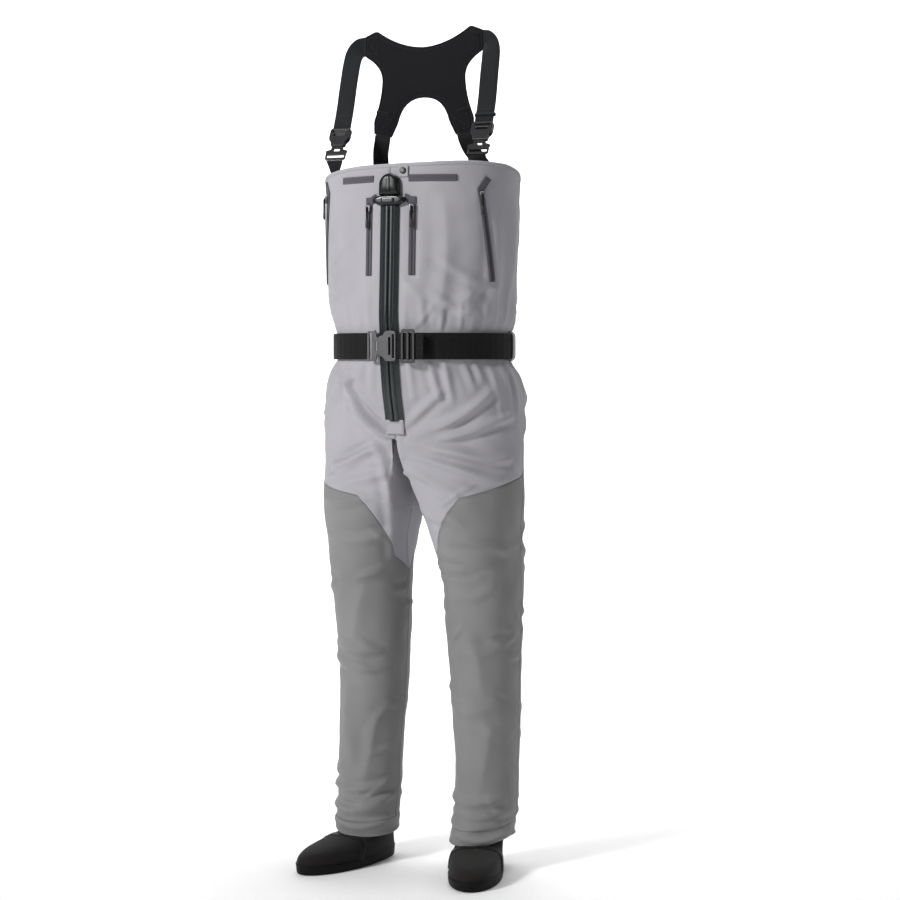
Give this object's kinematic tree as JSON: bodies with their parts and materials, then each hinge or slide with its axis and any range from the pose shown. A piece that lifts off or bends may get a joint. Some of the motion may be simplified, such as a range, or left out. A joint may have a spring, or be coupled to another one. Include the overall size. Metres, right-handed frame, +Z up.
{
  "type": "chest waders",
  "caption": "Stockingfoot chest waders with a waterproof front zip, zipped pockets, a waist belt and an X-shaped shoulder harness.",
  "frame": {"origin": "on the floor, under the middle of the whole object's box", "axes": "+Z up along the standing garment, -Y out of the front, +X to the wearer's left"},
  "size_m": [0.4134, 0.316, 1.627],
  "materials": {
    "shell_light": "matte",
    "shell_dark": "matte",
    "trim_grey": "matte",
    "neoprene": "matte",
    "webbing_black": "matte",
    "webbing_slate": "matte",
    "sock": "matte",
    "sole_rubber": "matte",
    "zip_coating": "satin",
    "buckle_plastic": "satin",
    "slider_metal": "satin",
    "pull_rubber": "satin",
    "snap_plastic": "satin"
  },
  "bodies": {
    "waders": {"bib_left_front": "shell_light", "bib_right_front": "shell_light", "bib_back": "shell_light", "crotch_gusset": "shell_light", "left_thigh_front": "shell_light", "left_thigh_back": "shell_light", "left_shin_panel": "shell_dark", "left_calf_panel": "shell_dark", "left_gravel_cuff": "shell_dark", "left_bootie": "sock", "left_bootie_sole": "sole_rubber", "left_main_zip_tape": "zip_coating", "left_chest_zip_tape": "trim_grey", "left_side_zip_tape": "trim_grey", "left_hem_tape": "trim_grey", "left_shoulder_buckle_male": "buckle_plastic", "left_bib_loop": "webbing_black", "left_back_anchor": "webbing_black", "left_belt_loop": "shell_light", "right_thigh_front": "shell_light", "right_thigh_back": "shell_light", "right_shin_panel": "shell_dark", "right_calf_panel": "shell_dark", "right_gravel_cuff": "shell_dark", "right_bootie": "sock", "right_bootie_sole": "sole_rubber", "right_main_zip_tape": "zip_coating", "right_chest_zip_tape": "trim_grey", "right_side_zip_tape": "trim_grey", "right_hem_tape": "trim_grey", "right_shoulder_buckle_male": "buckle_plastic", "right_bib_loop": "webbing_black", "right_back_anchor": "webbing_black", "right_belt_loop": "shell_light", "main_zip_dock": "zip_coating", "zip_end_patch": "shell_light", "belt_webbing": "webbing_black", "belt_buckle_male": "buckle_plastic"},
    "main_zip_slider": {"main_zip_slider": "zip_coating"},
    "left_chest_slider": {"left_chest_zip_slider": "slider_metal"},
    "left_chest_pull": {"left_chest_zip_pull": "pull_rubber"},
    "left_side_slider": {"left_side_zip_slider": "slider_metal"},
    "left_side_pull": {"left_side_zip_pull": "pull_rubber"},
    "right_chest_slider": {"right_chest_zip_slider": "slider_metal"},
    "right_chest_pull": {"right_chest_zip_pull": "pull_rubber"},
    "right_side_slider": {"right_side_zip_slider": "slider_metal"},
    "right_side_pull": {"right_side_zip_pull": "pull_rubber"},
    "snap_tab": {"snap_tab": "shell_light", "snap_cap": "snap_plastic"},
    "belt_release": {"belt_buckle_female": "buckle_plastic", "belt_tail": "webbing_black"},
    "belt_glide": {"belt_tri_glide": "buckle_plastic"},
    "harness": {"back_yoke": "neoprene", "left_front_strap": "webbing_slate", "left_back_strap": "webbing_black", "left_shoulder_buckle_female": "buckle_plastic", "right_front_strap": "webbing_slate", "right_back_strap": "webbing_black", "right_shoulder_buckle_female": "buckle_plastic"}
  },
  "joints": [
    {"name": "main_zip_slide", "type": "slide", "parent": "waders", "child": "main_zip_slider", "axis": [0, -0.0414, -0.9991], "range_m": [0, 0.225]},
    {"name": "left_chest_zip_slide", "type": "slide", "parent": "waders", "child": "left_chest_slider", "axis": [0, -0.0385, -0.9993], "range_m": [0, 0.11]},
    {"name": "left_chest_pull_swing", "type": "hinge", "parent": "left_chest_slider", "child": "left_chest_pull", "pos_m": [0.04579, -0.12817, 1.2754], "axis": [-0.9851, -0.1721, 0], "range_deg": [0, 85]},
    {"name": "left_side_zip_slide", "type": "slide", "parent": "waders", "child": "left_side_slider", "axis": [0.0859, 0.1315, -0.9876], "range_m": [0, 0.145]},
    {"name": "left_side_pull_swing", "type": "hinge", "parent": "left_side_slider", "child": "left_side_pull", "pos_m": [0.16601, -0.06723, 1.29873], "axis": [-0.7057, -0.7085, 0], "range_deg": [0, 85]},
    {"name": "right_chest_zip_slide", "type": "slide", "parent": "waders", "child": "right_chest_slider", "axis": [0, -0.0385, -0.9993], "range_m": [0, 0.11]},
    {"name": "right_chest_pull_swing", "type": "hinge", "parent": "right_chest_slider", "child": "right_chest_pull", "pos_m": [-0.04579, -0.12817, 1.2754], "axis": [-0.9851, 0.1721, 0], "range_deg": [0, 85]},
    {"name": "right_side_zip_slide", "type": "slide", "parent": "waders", "child": "right_side_slider", "axis": [-0.0859, 0.1315, -0.9876], "range_m": [0, 0.145]},
    {"name": "right_side_pull_swing", "type": "hinge", "parent": "right_side_slider", "child": "right_side_pull", "pos_m": [-0.16601, -0.06723, 1.29873], "axis": [-0.7057, 0.7085, 0], "range_deg": [0, 85]},
    {"name": "snap_tab_lift", "type": "hinge", "parent": "waders", "child": "snap_tab", "pos_m": [0.02586, -0.12, 1.352], "axis": [-0.9952, -0.0981, 0], "range_deg": [0, 110]},
    {"name": "belt_release_slide", "type": "slide", "parent": "waders", "child": "belt_release", "axis": [1, 0, 0], "range_m": [0, 0.032]},
    {"name": "belt_glide_slide", "type": "slide", "parent": "belt_release", "child": "belt_glide", "axis": [1, 0, 0], "range_m": [0, 0.03]},
    {"name": "harness_swing", "type": "hinge", "parent": "waders", "child": "harness", "pos_m": [0, 0.11547, 1.328], "axis": [-1, 0, 0], "range_deg": [0, 105]}
  ]
}
